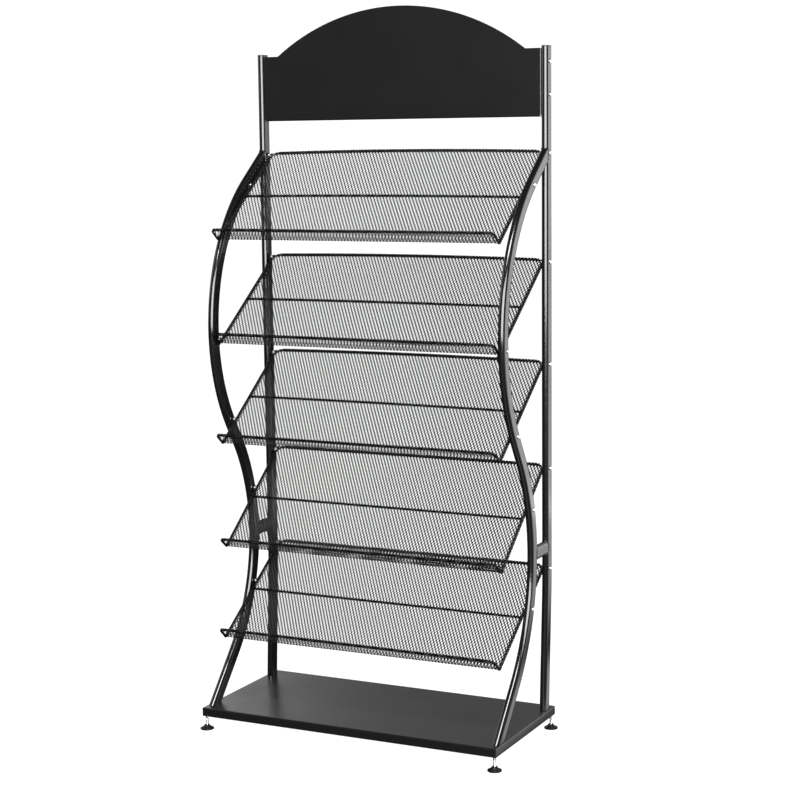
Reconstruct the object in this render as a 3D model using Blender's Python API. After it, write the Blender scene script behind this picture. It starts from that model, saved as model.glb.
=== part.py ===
"""Floor-standing brochure rack: five tilted mesh shelves hung between two bent-tube side frames.

Units are metres. +Z is up, the floor is z = 0, and the rack faces -Y.
Each separate physical piece is one object. A shelf's pieces hang from an empty on its rear wire, and
a levelling foot's pieces hang from an empty on its thread axis.
"""
import math

import bmesh
import bpy
from mathutils import Vector

GAP = 0.0003                    # clearance where one piece rests on, or passes through, another
OVERRUN = 0.005                 # how far a cutter runs past the face it opens

# Base tray: folded sheet with a skirt and a flange that returns inward underneath
BASE_WIDTH = 0.650
BASE_DEPTH = 0.303
BASE_TOP = 0.046
BASE_HEIGHT = 0.018
BASE_SHEET = 0.001
BASE_RETURN = 0.026
BASE_EDGE_RADIUS = 0.0015

# Flat-oval tube that both side frames are made of; its long way runs front to back
TUBE_WIDTH = 0.014
TUBE_DEPTH = 0.028
TUBE_WALL = 0.0012
TUBE_PLUG_LENGTH = 0.010        # solid threaded plug in a tube's lower end
TUBE_SEGMENTS = 5               # facets in each rounded side
TUBE_X = 0.3152

# Rear upright, which leans back a little from the base and then stands plumb, and its plastic end plug
UPRIGHT_Y = 0.1317
UPRIGHT_TOP = 1.359
UPRIGHT_FOOT_Y = 0.1168
UPRIGHT_FOOT_LEAN = math.radians(3.3)
UPRIGHT_FOOT_RUN = 0.230
UPRIGHT_BEND_RADIUS = 1.000
PLUG_LID = 0.0026
PLUG_CHAMFER = 0.0010
PLUG_INSERT = 0.014

# Curved front tube, followed from the base upward; a lean is measured from vertical, + towards the back
FRONT_FOOT_Y = -0.1166
FRONT_LOWER_RUN = 0.1216
FRONT_LOWER_LEAN = math.radians(41.3)
FRONT_LOWER_RADIUS = 0.3641
FRONT_MIDDLE_RUN = 0.0499
FRONT_MIDDLE_LEAN = math.radians(-32.5)
FRONT_UPPER_RADIUS = 0.3652
FRONT_UPPER_LEAN = math.radians(52.35)
ARC_STEP = math.radians(9.0)
ARC_LEAST_STEPS = 3

# Short flat-oval tie between the front tube and the upright
LINK_Z = 0.3775
COPE_LOW = 0.345                # the upright is plumb above this, where other tubes are coped round it

# Header sign panel
HEADER_FRONT_Y = 0.1227
HEADER_BOTTOM = 1.226
HEADER_SHOULDER = 1.357
HEADER_PEAK = 1.449
HEADER_ARCH_HALF = 0.2745
HEADER_SHEET = 0.0012
HEADER_SIDE_FOLD = 0.022
HEADER_BOTTOM_FOLD = 0.014
HEADER_ARCH_STEPS = 20
HEADER_SCREW_HEIGHTS = (1.2689, 1.3319)

# Mesh shelves, top to bottom: height of the rear wire, downward tilt towards the front, and the
# distance down the slope to the front eyelets, which is where the side wires pass the front tubes
SHELVES = (
    (1.1593, math.radians(36.8), 0.1120),
    (0.9481, math.radians(35.9), 0.2750),
    (0.7470, math.radians(36.5), 0.2160),
    (0.5401, math.radians(38.3), 0.1230),
    (0.3362, math.radians(34.0), 0.1240),
)
SHELF_REAR_Y = 0.1453
SHELF_HALF = 0.3042             # centre line of the side wires
SHELF_SLOPE = 0.280
SHELF_LIP = 0.033
SHELF_FOLD = math.radians(103.9)
SHELF_REAR_CORNER = 0.018
SHELF_LIP_CORNER = 0.010
SHELF_FOLD_RADIUS = 0.005
BORDER_WIRE = 0.0020
MIDDLE_WIRE = 0.00175
MIDDLE_WIRE_AT = 0.516          # fraction of the slope, from the rear wire
SHEET_THICKNESS = 0.0005        # a solid sheet of about the expanded mesh's weight
SHEET_INSET = 0.0026            # from the border wire's centre line to the sheet's edge
EYELET_RISE = 0.0060            # eyelet centre above the side wire's centre line
EYELET_OUTER = 0.0095
EYELET_INNER = 0.0026
EYELET_THICKNESS = 0.0020

# Fasteners
SCREW_SHANK = 0.0020
SCREW_HOLE = 0.0023
SCREW_HEAD = 0.0040
SCREW_HEAD_HEIGHT = 0.0022
THIN_NUT_FLATS = 0.0070
THIN_NUT_HEIGHT = 0.0022
BOLT_SHANK = 0.0025
BOLT_HOLE = 0.0028
BOLT_FLATS = 0.0080
BOLT_HEAD_HEIGHT = 0.0040
BOLT_ACCESS = 0.0060

# Levelling feet, one near each corner of the base
FOOT_INSET_X = 0.0065
FOOT_INSET_Y = 0.0075
STUD_RADIUS = 0.0030
STUD_TOP = 0.0400
STUD_TIP = 0.0006               # chamfer at the stud's top
STUD_BEAD = 0.0042              # radius of the bead at the stud's lower end
STUD_BEAD_TOP = 0.0052
STUD_NECK = 0.0062
FOOT_HOLE = 0.0034
FOOT_NUT_FLATS = 0.0100
FOOT_NUT_HEIGHT = 0.0050
PAD_RADIUS = 0.0140
PAD_RIM = 0.0030                # height of the upright rim
PAD_EDGE = 0.0010               # chamfer under the rim
PAD_COLLAR = 0.0046             # radius of the flat top
PAD_CHAMFER = 0.0006
PAD_HEIGHT = 0.0100
PAD_FLOOR = 0.0030

ROUND_SIDES = 12
HOLE_SIDES = 8
PAD_SIDES = 18
WIRE_SIDES = 6

SIDES = (("left", -1.0), ("right", 1.0))


# ---------------------------------------------------------------- helpers

def clear_scene():
    for existing in list(bpy.data.objects):
        bpy.data.objects.remove(existing, do_unlink=True)


def make_material(name, colour, metallic, roughness):
    material = bpy.data.materials.new(name)
    material.use_nodes = True
    shader = material.node_tree.nodes["Principled BSDF"]
    shader.inputs["Base Color"].default_value = (*colour, 1.0)
    shader.inputs["Metallic"].default_value = metallic
    shader.inputs["Roughness"].default_value = roughness
    material.diffuse_color = (*colour, 1.0)
    return material


def finish_mesh(bm, name):
    bmesh.ops.recalc_face_normals(bm, faces=bm.faces)
    mesh = bpy.data.meshes.new(name)
    bm.to_mesh(mesh)
    bm.free()
    mesh.shade_smooth()
    mesh.set_sharp_from_angle(angle=math.radians(35.0))
    return mesh


def add_object(name, mesh, material=None, parent=None, location=(0.0, 0.0, 0.0)):
    item = bpy.data.objects.new(name, mesh)
    bpy.context.scene.collection.objects.link(item)
    if material:
        item.data.materials.clear()
        item.data.materials.append(material)
    item.parent = parent
    item.location = location
    return item


def add_empty(name, location, tilt=0.0):
    """An empty whose tilt is about X."""
    empty = bpy.data.objects.new(name, None)
    bpy.context.scene.collection.objects.link(empty)
    empty.location = location
    empty.rotation_euler.x = tilt
    return empty


def combine(target, tool, operation):
    """Join, or cut, the target with a tool object that is itself left out of the model."""
    tool.hide_render = True
    tool.display_type = "WIRE"
    modifier = target.modifiers.new(tool.name, "BOOLEAN")
    modifier.operation = operation
    modifier.object = tool


def skin_rings(bm, rings, closed=False):
    """Join rings of equal point count with faces, and cap the two ends unless the path is closed."""
    loops = [[bm.verts.new(point) for point in ring] for ring in rings]
    pairs = list(zip(loops, loops[1:]))
    if closed:
        pairs.append((loops[-1], loops[0]))
    for lower, upper in pairs:
        for i in range(len(lower)):
            j = (i + 1) % len(lower)
            bm.faces.new((lower[i], lower[j], upper[j], upper[i]))
    if not closed:
        bm.faces.new(reversed(loops[0]))
        bm.faces.new(loops[-1])


def rings_mesh(name, rings, closed=False):
    bm = bmesh.new()
    skin_rings(bm, rings, closed)
    return finish_mesh(bm, name)


def circle(radius, sides):
    angles = [2.0 * math.pi * i / sides for i in range(sides)]
    return [(radius * math.cos(angle), radius * math.sin(angle)) for angle in angles]


def hexagon(flats):
    """Hexagon as twelve points, its corners and the middles of its sides; flats face the first axis."""
    corner = flats / math.sqrt(3.0)
    radii = (flats / 2.0, corner)
    points = []
    for i in range(12):
        angle = math.radians(30.0 * i)
        points.append((radii[i % 2] * math.cos(angle), radii[i % 2] * math.sin(angle)))
    return points


def turned_rings(profile, sides, axis="Z"):
    """Rings for a turned solid from (radius or outline, position) pairs along Z or X."""
    rings = []
    for shape, position in profile:
        outline = shape if isinstance(shape, list) else circle(shape, sides)
        if axis == "Z":
            rings.append([Vector((u, v, position)) for u, v in outline])
        else:
            rings.append([Vector((position, u, v)) for u, v in outline])
    return rings


def flat_oval(width, depth):
    """Flat-oval section: straight sides along the second axis and a round at each end of it."""
    radius = width / 2.0
    reach = depth / 2.0 - radius
    points = []
    for end in (1.0, -1.0):
        for i in range(TUBE_SEGMENTS + 1):
            angle = math.pi * i / TUBE_SEGMENTS
            points.append((end * radius * math.cos(angle), end * (reach + radius * math.sin(angle))))
    return points


def box_rings(half_x, half_y, low, high):
    corners = ((-half_x, -half_y), (half_x, -half_y), (half_x, half_y), (-half_x, half_y))
    return [[Vector((x, y, z)) for x, y in corners] for z in (low, high)]


def add_cylinder(bm, centre, radius, half_length, axis):
    """A cutter's cylinder along X or Z."""
    span = ((radius, -half_length), (radius, half_length))
    rings = turned_rings(span, HOLE_SIDES, axis)
    skin_rings(bm, [[point + Vector(centre) for point in ring] for ring in rings])


def sweep_rings(path, radius, sides, closed):
    """Round section carried along a path without twisting."""
    count = len(path)
    rings = []
    across = None
    for i, point in enumerate(path):
        before = path[(i - 1) % count] if closed or i > 0 else point
        after = path[(i + 1) % count] if closed or i < count - 1 else point
        arriving = (point - before).normalized() if point != before else (after - point).normalized()
        leaving = (after - point).normalized() if after != point else arriving
        tangent = (arriving + leaving).normalized()
        if across is None:
            across = tangent.orthogonal().normalized()
        across = (across - tangent * across.dot(tangent)).normalized()
        other = tangent.cross(across)
        rings.append([point + across * u + other * v for u, v in circle(radius, sides)])
    return rings


# ---------------------------------------------------------------- front tube

def tube_path(y, lean, stretches):
    """Centre line as (y, z, lean) stations up from the base: each stretch is a run and the bend after it.

    A bend's radius is negative where the lean falls."""
    z = BASE_TOP
    stations = [(y, z, lean)]
    for run, final_lean, radius in stretches:
        y += run * math.sin(lean)
        z += run * math.cos(lean)
        stations.append((y, z, lean))
        steps = max(ARC_LEAST_STEPS, math.ceil(abs(final_lean - lean) / ARC_STEP))
        centre_y = y + radius * math.cos(lean)
        centre_z = z - radius * math.sin(lean)
        start_lean = lean
        for i in range(1, steps + 1):
            lean = start_lean + (final_lean - start_lean) * i / steps
            y = centre_y - radius * math.cos(lean)
            z = centre_z + radius * math.sin(lean)
            stations.append((y, z, lean))
    return stations


def front_tube_path():
    """From the base top to inside the upright."""
    stretches = (
        (FRONT_LOWER_RUN, FRONT_MIDDLE_LEAN, -FRONT_LOWER_RADIUS),
        (FRONT_MIDDLE_RUN, FRONT_UPPER_LEAN, FRONT_UPPER_RADIUS),
    )
    stations = tube_path(FRONT_FOOT_Y, FRONT_LOWER_LEAN, stretches)
    y, z, lean = stations[-1]
    run = (UPRIGHT_Y - y) / math.sin(lean)
    stations.append((UPRIGHT_Y, z + run * math.cos(lean), lean))
    return stations


def section_ring(station, width, depth):
    """Flat-oval section square to the centre line, and the direction of the centre line."""
    y, z, lean = station
    along = Vector((0.0, math.sin(lean), math.cos(lean)))
    across = Vector((0.0, math.cos(lean), -math.sin(lean)))
    return [Vector((u, y, z)) + across * v for u, v in flat_oval(width, depth)], along


def level_cut(ring, along, height):
    return [point + along * ((height - point.z) / along.z) for point in ring]


def front_tube_rings(stations, width, depth, bottom, end_y):
    """Section rings along the tube, cut level at the bottom and upright at end_y."""
    rings = []
    for index, station in enumerate(stations):
        ring, along = section_ring(station, width, depth)
        if index == 0:
            ring = level_cut(ring, along, bottom)
        if index == len(stations) - 1:
            ring = [point + along * ((end_y - point.y) / along.y) for point in ring]
        rings.append(ring)
    return rings


# ---------------------------------------------------------------- eyelet positions

def rear_eyelet(tilt):
    """Distance down a shelf's slope at which its side wire passes the middle of the upright."""
    return (SHELF_REAR_Y - UPRIGHT_Y - EYELET_RISE * math.sin(tilt)) / math.cos(tilt)


def eyelet_world(height, tilt, distance):
    """(y, z) of an eyelet centre."""
    y = SHELF_REAR_Y - distance * math.cos(tilt) - EYELET_RISE * math.sin(tilt)
    z = height - distance * math.sin(tilt) + EYELET_RISE * math.cos(tilt)
    return y, z


# ---------------------------------------------------------------- side frames

def cross_holes_mesh(name, holes, bolt):
    """Screw holes along X at (y, z) places, and one bolt hole up into the lower plug at (y, z)."""
    bm = bmesh.new()
    for y, z in holes:
        add_cylinder(bm, (0.0, y, z), SCREW_HOLE, TUBE_WIDTH, "X")
    add_cylinder(bm, (0.0, bolt[0], bolt[1]), BOLT_HOLE, TUBE_PLUG_LENGTH + OVERRUN, "Z")
    return finish_mesh(bm, name)


def upright_rings(grow, low, high):
    """The plumb part of the upright between two heights."""
    outline = flat_oval(TUBE_WIDTH + 2.0 * grow, TUBE_DEPTH + 2.0 * grow)
    return [[Vector((u, v + UPRIGHT_Y, z)) for u, v in outline] for z in (low, high)]


def bent_upright_rings(grow, low, high):
    """The whole upright, cut level at both ends."""
    stretches = ((UPRIGHT_FOOT_RUN, 0.0, -UPRIGHT_BEND_RADIUS),)
    width, depth = TUBE_WIDTH + 2.0 * grow, TUBE_DEPTH + 2.0 * grow
    rings = []
    for station in tube_path(UPRIGHT_FOOT_Y, UPRIGHT_FOOT_LEAN, stretches):
        ring, along = section_ring(station, width, depth)
        rings.append(ring if rings else level_cut(ring, along, low))
    rings.append([Vector((point.x, point.y, high)) for point in rings[-1]])
    return rings


def build_uprights(powder, plastic, eyelets):
    low = BASE_TOP + GAP
    outer = rings_mesh("upright", bent_upright_rings(0.0, low, UPRIGHT_TOP))
    bore_rings = bent_upright_rings(-TUBE_WALL, low + TUBE_PLUG_LENGTH, UPRIGHT_TOP + OVERRUN)
    bore = rings_mesh("upright_bore", bore_rings)
    holes = eyelets + [(UPRIGHT_Y, z) for z in HEADER_SCREW_HEIGHTS]
    hole_mesh = cross_holes_mesh("upright_holes", holes, (UPRIGHT_FOOT_Y, BASE_TOP))
    lid_low = UPRIGHT_TOP + GAP
    lid_top = lid_low + PLUG_LID
    plug = upright_rings(-TUBE_WALL - GAP, UPRIGHT_TOP - PLUG_INSERT, lid_low)
    plug += upright_rings(0.0, lid_low, lid_top - PLUG_CHAMFER)
    plug.append(upright_rings(-PLUG_CHAMFER, lid_low, lid_top)[1])
    plug_mesh = rings_mesh("upright_plug", plug)
    for side, sign in SIDES:
        place = (sign * TUBE_X, 0.0, 0.0)
        tube = add_object("upright_" + side, outer, powder, location=place)
        combine(tube, add_object("upright_bore_" + side, bore, location=place), "DIFFERENCE")
        combine(tube, add_object("upright_holes_" + side, hole_mesh, location=place), "DIFFERENCE")
        add_object("upright_plug_" + side, plug_mesh, plastic, location=place)


def build_front_tubes(powder, stations, eyelets):
    low = BASE_TOP + GAP
    outer = rings_mesh("front_tube", front_tube_rings(stations, TUBE_WIDTH, TUBE_DEPTH, low, UPRIGHT_Y))
    thin = 2.0 * TUBE_WALL
    inner_rings = front_tube_rings(
        stations, TUBE_WIDTH - thin, TUBE_DEPTH - thin, low + TUBE_PLUG_LENGTH, UPRIGHT_Y + OVERRUN)
    bore = rings_mesh("front_tube_bore", inner_rings)
    hole_mesh = cross_holes_mesh("front_tube_holes", eyelets, (FRONT_FOOT_Y, BASE_TOP))
    cope = rings_mesh("front_tube_cope", upright_rings(GAP, COPE_LOW, UPRIGHT_TOP))
    for side, sign in SIDES:
        place = (sign * TUBE_X, 0.0, 0.0)
        tube = add_object("front_tube_" + side, outer, powder, location=place)
        combine(tube, add_object("front_tube_bore_" + side, bore, location=place), "DIFFERENCE")
        combine(tube, add_object("front_tube_cope_" + side, cope, location=place), "DIFFERENCE")
        combine(tube, add_object("front_tube_holes_" + side, hole_mesh, location=place), "DIFFERENCE")


def link_rings(grow, start_y, end_y):
    """The tie is the same tube laid along Y, with its long way upright."""
    outline = flat_oval(TUBE_WIDTH + 2.0 * grow, TUBE_DEPTH + 2.0 * grow)
    return [[Vector((u, y, LINK_Z + v)) for u, v in outline] for y in (start_y, end_y)]


def build_links(powder, stations):
    start_y = min(stations, key=lambda station: abs(station[1] - LINK_Z))[0]
    body = rings_mesh("tie_bar", link_rings(0.0, start_y, UPRIGHT_Y))
    bore = rings_mesh("tie_bar_bore", link_rings(-TUBE_WALL, start_y - OVERRUN, UPRIGHT_Y + OVERRUN))
    rear_cope = rings_mesh("tie_rear_cope", upright_rings(GAP, COPE_LOW, UPRIGHT_TOP))
    grow = 2.0 * GAP
    cope_rings = front_tube_rings(stations, TUBE_WIDTH + grow, TUBE_DEPTH + grow, BASE_TOP, UPRIGHT_Y)
    front_cope = rings_mesh("tie_front_cope", cope_rings)
    for side, sign in SIDES:
        place = (sign * TUBE_X, 0.0, 0.0)
        tie = add_object("tie_bar_" + side, body, powder, location=place)
        combine(tie, add_object("tie_bar_bore_" + side, bore, location=place), "DIFFERENCE")
        combine(tie, add_object("tie_rear_cope_" + side, rear_cope, location=place), "DIFFERENCE")
        combine(tie, add_object("tie_front_cope_" + side, front_cope, location=place), "DIFFERENCE")


# ---------------------------------------------------------------- base and header

def build_base(powder):
    half_x = BASE_WIDTH / 2.0
    half_y = BASE_DEPTH / 2.0
    low = BASE_TOP - BASE_HEIGHT
    tray = add_object("base_tray", rings_mesh("base_tray", box_rings(half_x, half_y, low, BASE_TOP)), powder)
    bevel = tray.modifiers.new("folded_edges", "BEVEL")
    bevel.width = BASE_EDGE_RADIUS
    bevel.segments = 2
    mouth = box_rings(half_x - BASE_RETURN, half_y - BASE_RETURN, low - OVERRUN, low + BASE_SHEET)
    room = box_rings(half_x - BASE_SHEET, half_y - BASE_SHEET, low + BASE_SHEET, BASE_TOP - BASE_SHEET)
    combine(tray, add_object("base_hollow", rings_mesh("base_hollow", mouth + room)), "DIFFERENCE")
    bm = bmesh.new()
    for side, sign in SIDES:
        for y in (FRONT_FOOT_Y, UPRIGHT_FOOT_Y):
            add_cylinder(bm, (sign * TUBE_X, y, BASE_TOP), BOLT_HOLE, OVERRUN, "Z")
            add_cylinder(bm, (sign * TUBE_X, y, low), BOLT_ACCESS, OVERRUN, "Z")
        for front in (-1.0, 1.0):
            place = (sign * (half_x - FOOT_INSET_X), front * (half_y - FOOT_INSET_Y), low)
            add_cylinder(bm, place, FOOT_HOLE, OVERRUN, "Z")
    combine(tray, add_object("base_holes", finish_mesh(bm, "base_holes")), "DIFFERENCE")


def header_outline(half):
    """Front outline as (x, z): straight sides, level shoulders and a round arch between them."""
    rise = HEADER_PEAK - HEADER_SHOULDER
    radius = (HEADER_ARCH_HALF ** 2 + rise ** 2) / (2.0 * rise)
    centre_z = HEADER_PEAK - radius
    half_angle = math.asin(HEADER_ARCH_HALF / radius)
    points = [(-half, HEADER_BOTTOM), (half, HEADER_BOTTOM), (half, HEADER_SHOULDER)]
    for i in range(HEADER_ARCH_STEPS + 1):
        angle = half_angle * (1.0 - 2.0 * i / HEADER_ARCH_STEPS)
        points.append((radius * math.sin(angle), centre_z + radius * math.cos(angle)))
    points.append((-half, HEADER_SHOULDER))
    return points


def build_header(powder):
    half = TUBE_X - TUBE_WIDTH / 2.0 - GAP
    front = HEADER_FRONT_Y
    outline = header_outline(half)
    face = [[Vector((x, y, z)) for x, z in outline] for y in (front, front + HEADER_SHEET)]
    panel = add_object("header_panel", rings_mesh("header_panel", face), powder)
    inner = half - HEADER_SHEET
    sheet_back = front + HEADER_SHEET / 2.0
    bottom_fold = front + HEADER_BOTTOM_FOLD
    side_fold = front + HEADER_SIDE_FOLD
    tray = (
        (-half, sheet_back), (-half, side_fold), (-inner, side_fold), (-inner, bottom_fold),
        (inner, bottom_fold), (inner, side_fold), (half, side_fold), (half, sheet_back),
    )
    sill = [[Vector((x, y, z)) for x, y in tray] for z in (HEADER_BOTTOM, HEADER_BOTTOM + HEADER_SHEET)]
    combine(panel, add_object("header_sill", rings_mesh("header_sill", sill)), "UNION")
    bm = bmesh.new()
    for sign in (-1.0, 1.0):
        x0, x1 = sign * half, sign * inner
        cheek = ((x0, sheet_back), (x0, side_fold), (x1, side_fold), (x1, sheet_back))
        heights = (HEADER_BOTTOM + HEADER_SHEET / 2.0, HEADER_SHOULDER)
        skin_rings(bm, [[Vector((x, y, z)) for x, y in cheek] for z in heights])
    combine(panel, add_object("header_cheeks", finish_mesh(bm, "header_cheeks")), "UNION")
    bm = bmesh.new()
    for sign in (-1.0, 1.0):
        for z in HEADER_SCREW_HEIGHTS:
            add_cylinder(bm, (sign * half, UPRIGHT_Y, z), SCREW_HOLE, OVERRUN, "X")
    combine(panel, add_object("header_holes", finish_mesh(bm, "header_holes")), "DIFFERENCE")


# ---------------------------------------------------------------- shelves

def lip_point(rise, inset):
    """(y, z) in a shelf's own frame, up the lip from the fold and inset towards the back of the lip."""
    lean = math.pi - SHELF_FOLD
    return (-SHELF_SLOPE - rise * math.cos(lean) + inset * math.sin(lean),
            rise * math.sin(lean) + inset * math.cos(lean))


def shelf_wire_path():
    """Centre line of the border wire in a shelf's own frame, right half then its mirror image."""
    half = SHELF_HALF
    points = []
    for i in range(4):
        angle = math.radians(90.0 * i / 3.0)
        x = half - SHELF_REAR_CORNER * (1.0 - math.sin(angle))
        points.append(Vector((x, -SHELF_REAR_CORNER * (1.0 - math.cos(angle)), 0.0)))
    lean = math.pi - SHELF_FOLD
    trim = SHELF_FOLD_RADIUS * math.tan(lean / 2.0)
    for i in range(3):
        angle = lean * i / 2.0
        y = -SHELF_SLOPE + trim - SHELF_FOLD_RADIUS * math.sin(angle)
        points.append(Vector((half, y, SHELF_FOLD_RADIUS * (1.0 - math.cos(angle)))))
    for i in range(3):
        angle = math.radians(90.0 * i / 2.0)
        rise = SHELF_LIP - SHELF_LIP_CORNER * (1.0 - math.sin(angle))
        y, z = lip_point(rise, 0.0)
        points.append(Vector((half - SHELF_LIP_CORNER * (1.0 - math.cos(angle)), y, z)))
    mirrored = [Vector((-p.x, p.y, p.z)) for p in reversed(points)]
    return points + mirrored


def shelf_sheet_mesh():
    """Sheet of expanded mesh as a folded plate inside the border wire, with its corners rounded."""
    half = SHELF_HALF
    high = SHEET_THICKNESS / 2.0
    low = -high
    lean = math.pi - SHELF_FOLD
    stations = []
    rear = SHELF_REAR_CORNER
    for i in range(4):
        angle = math.radians(90.0 * i / 3.0)
        reach = rear - SHEET_INSET
        width = half - rear + reach * math.sin(angle)
        y = -rear + reach * math.cos(angle)
        stations.append((width, (y, low), (y, high)))
    crease = [(-SHELF_SLOPE + level * math.tan(lean / 2.0), level) for level in (low, high)]
    stations.append((half - SHEET_INSET, crease[0], crease[1]))
    corner = SHELF_LIP_CORNER
    for i in range(3):
        angle = math.radians(90.0 * i / 2.0)
        reach = corner - SHEET_INSET
        width = half - corner + reach * math.cos(angle)
        rise = SHELF_LIP - corner + reach * math.sin(angle)
        stations.append((width, lip_point(rise, low), lip_point(rise, high)))
    rings = []
    for width, under, over in stations:
        corners = ((-width, under), (width, under), (width, over), (-width, over))
        rings.append([Vector((x, y, z)) for x, (y, z) in corners])
    return rings_mesh("shelf_sheet", rings)


def eyelet_x():
    """Inner and outer faces of an eyelet, which stands between the side wire and the tube."""
    outer = TUBE_X - TUBE_WIDTH / 2.0 - GAP
    return outer - EYELET_THICKNESS, outer


def shelf_fittings_mesh(name, distances):
    """Middle wire and four eyelets, as the pieces welded to a shelf's border wire."""
    bm = bmesh.new()
    wire_level = SHEET_THICKNESS / 2.0 + GAP + MIDDLE_WIRE
    y = -SHELF_SLOPE * MIDDLE_WIRE_AT
    ends = [Vector((x, y, wire_level)) for x in (-SHELF_HALF, SHELF_HALF)]
    skin_rings(bm, sweep_rings(ends, MIDDLE_WIRE, WIRE_SIDES, False))
    inner, outer = eyelet_x()
    for sign in (-1.0, 1.0):
        for distance in distances:
            profile = (
                (EYELET_INNER, inner), (EYELET_OUTER, inner), (EYELET_OUTER, outer), (EYELET_INNER, outer))
            rings = turned_rings(profile, ROUND_SIDES, "X")
            centre = Vector((0.0, -distance, EYELET_RISE))
            placed = [[Vector((sign * p.x, p.y, p.z)) + centre for p in ring] for ring in rings]
            skin_rings(bm, placed, closed=True)
    return finish_mesh(bm, name)


def build_shelves(powder):
    border = rings_mesh("shelf_border", sweep_rings(shelf_wire_path(), BORDER_WIRE, WIRE_SIDES, True), True)
    sheet = shelf_sheet_mesh()
    for number, (height, tilt, front) in enumerate(SHELVES, start=1):
        name = f"shelf_{number}"
        hanger = add_empty(name + "_hanger", (0.0, SHELF_REAR_Y, height), tilt)
        frame = add_object(name + "_frame", border, powder, hanger)
        fittings = shelf_fittings_mesh(name + "_fittings", (rear_eyelet(tilt), front))
        combine(frame, add_object(name + "_fittings", fittings, None, hanger), "UNION")
        add_object(name + "_mesh", sheet, powder, hanger)


# ---------------------------------------------------------------- fasteners

def screw_mesh(name, grip):
    """Pan-head screw along +X with its nut run on; x = 0 is under the head, grip ends at the nut."""
    nut = grip + GAP
    profile = (
        (SCREW_HEAD * 0.7, SCREW_HEAD_HEIGHT),
        (SCREW_HEAD, 0.0),
        (SCREW_SHANK, 0.0),
        (SCREW_SHANK, -nut),
        (hexagon(THIN_NUT_FLATS), -nut),
        (hexagon(THIN_NUT_FLATS), -nut - THIN_NUT_HEIGHT),
    )
    return rings_mesh(name, turned_rings(profile, ROUND_SIDES, "X"))


def add_screw(name, mesh, metal, sign, y, z, tilt=0.0):
    """Head outward on the tube's outer face; tilt about X squares the nut with its shelf."""
    face = TUBE_X + TUBE_WIDTH / 2.0 + GAP
    screw = add_object(name, mesh, metal, location=(sign * face, y, z))
    screw.rotation_euler.x = sign * (tilt + math.pi / 2.0)
    screw.rotation_euler.z = math.pi if sign < 0.0 else 0.0


def build_screws(metal):
    face = TUBE_X + TUBE_WIDTH / 2.0 + GAP
    half = TUBE_X - TUBE_WIDTH / 2.0 - GAP
    shelf_screw = screw_mesh("shelf_screw", face - eyelet_x()[0])
    header_screw = screw_mesh("header_screw", face - half + HEADER_SHEET)
    for side, sign in SIDES:
        for number, (height, tilt, front) in enumerate(SHELVES, start=1):
            for where, distance in (("rear", rear_eyelet(tilt)), ("front", front)):
                y, z = eyelet_world(height, tilt, distance)
                add_screw(f"shelf_{number}_screw_{where}_{side}", shelf_screw, metal, sign, y, z, tilt)
        for where, z in zip(("lower", "upper"), HEADER_SCREW_HEIGHTS):
            add_screw(f"header_screw_{where}_{side}", header_screw, metal, sign, UPRIGHT_Y, z)


def build_base_bolts(metal):
    head_top = BASE_TOP - BASE_SHEET - GAP
    profile = (
        (hexagon(BOLT_FLATS), head_top - BOLT_HEAD_HEIGHT),
        (hexagon(BOLT_FLATS), head_top),
        (BOLT_SHANK, head_top),
        (BOLT_SHANK, BASE_TOP + TUBE_PLUG_LENGTH),
    )
    mesh = rings_mesh("base_bolt", turned_rings(profile, ROUND_SIDES))
    for side, sign in SIDES:
        for where, y in (("front", FRONT_FOOT_Y), ("rear", UPRIGHT_FOOT_Y)):
            add_object(f"base_bolt_{where}_{side}", mesh, metal, location=(sign * TUBE_X, y, 0.0))


# ---------------------------------------------------------------- levelling feet

def pad_mesh():
    """Conical pad with a socket, open at the top, that the stud's bead snaps into."""
    bead = STUD_BEAD + GAP
    neck = STUD_RADIUS + GAP
    profile = (
        (PAD_RADIUS - PAD_EDGE, 0.0),
        (PAD_RADIUS, PAD_EDGE),
        (PAD_RADIUS, PAD_RIM),
        (PAD_COLLAR + PAD_CHAMFER, PAD_HEIGHT - PAD_CHAMFER),
        (PAD_COLLAR, PAD_HEIGHT),
        (neck, PAD_HEIGHT),
        (neck, STUD_NECK + 2.0 * GAP),
        (bead, STUD_BEAD_TOP + 2.0 * GAP),
        (bead, PAD_FLOOR),
    )
    return rings_mesh("foot_pad", turned_rings(profile, PAD_SIDES))


def stud_mesh():
    low = PAD_FLOOR + GAP
    profile = (
        (STUD_BEAD, low),
        (STUD_BEAD, STUD_BEAD_TOP),
        (STUD_RADIUS, STUD_NECK),
        (STUD_RADIUS, STUD_TOP - STUD_TIP),
        (STUD_RADIUS - STUD_TIP, STUD_TOP),
    )
    return rings_mesh("foot_stud", turned_rings(profile, ROUND_SIDES))


def foot_nut_mesh():
    low = BASE_TOP - BASE_HEIGHT + BASE_SHEET + GAP
    high = low + FOOT_NUT_HEIGHT
    bore = STUD_RADIUS + GAP
    flats = hexagon(FOOT_NUT_FLATS)
    profile = ((bore, low), (flats, low), (flats, high), (bore, high))
    return rings_mesh("foot_nut", turned_rings(profile, ROUND_SIDES), closed=True)


def build_feet(steel, zinc, plastic):
    pad, stud, nut = pad_mesh(), stud_mesh(), foot_nut_mesh()
    for side, sign in SIDES:
        for where, front in (("front", -1.0), ("rear", 1.0)):
            x = sign * (BASE_WIDTH / 2.0 - FOOT_INSET_X)
            y = front * (BASE_DEPTH / 2.0 - FOOT_INSET_Y)
            axis = add_empty(f"foot_axis_{where}_{side}", (x, y, 0.0))
            add_object(f"foot_pad_{where}_{side}", pad, plastic, axis)
            add_object(f"foot_stud_{where}_{side}", stud, zinc, axis)
            add_object(f"foot_nut_{where}_{side}", nut, steel, location=(x, y, 0.0))


# ---------------------------------------------------------------- assembly

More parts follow.
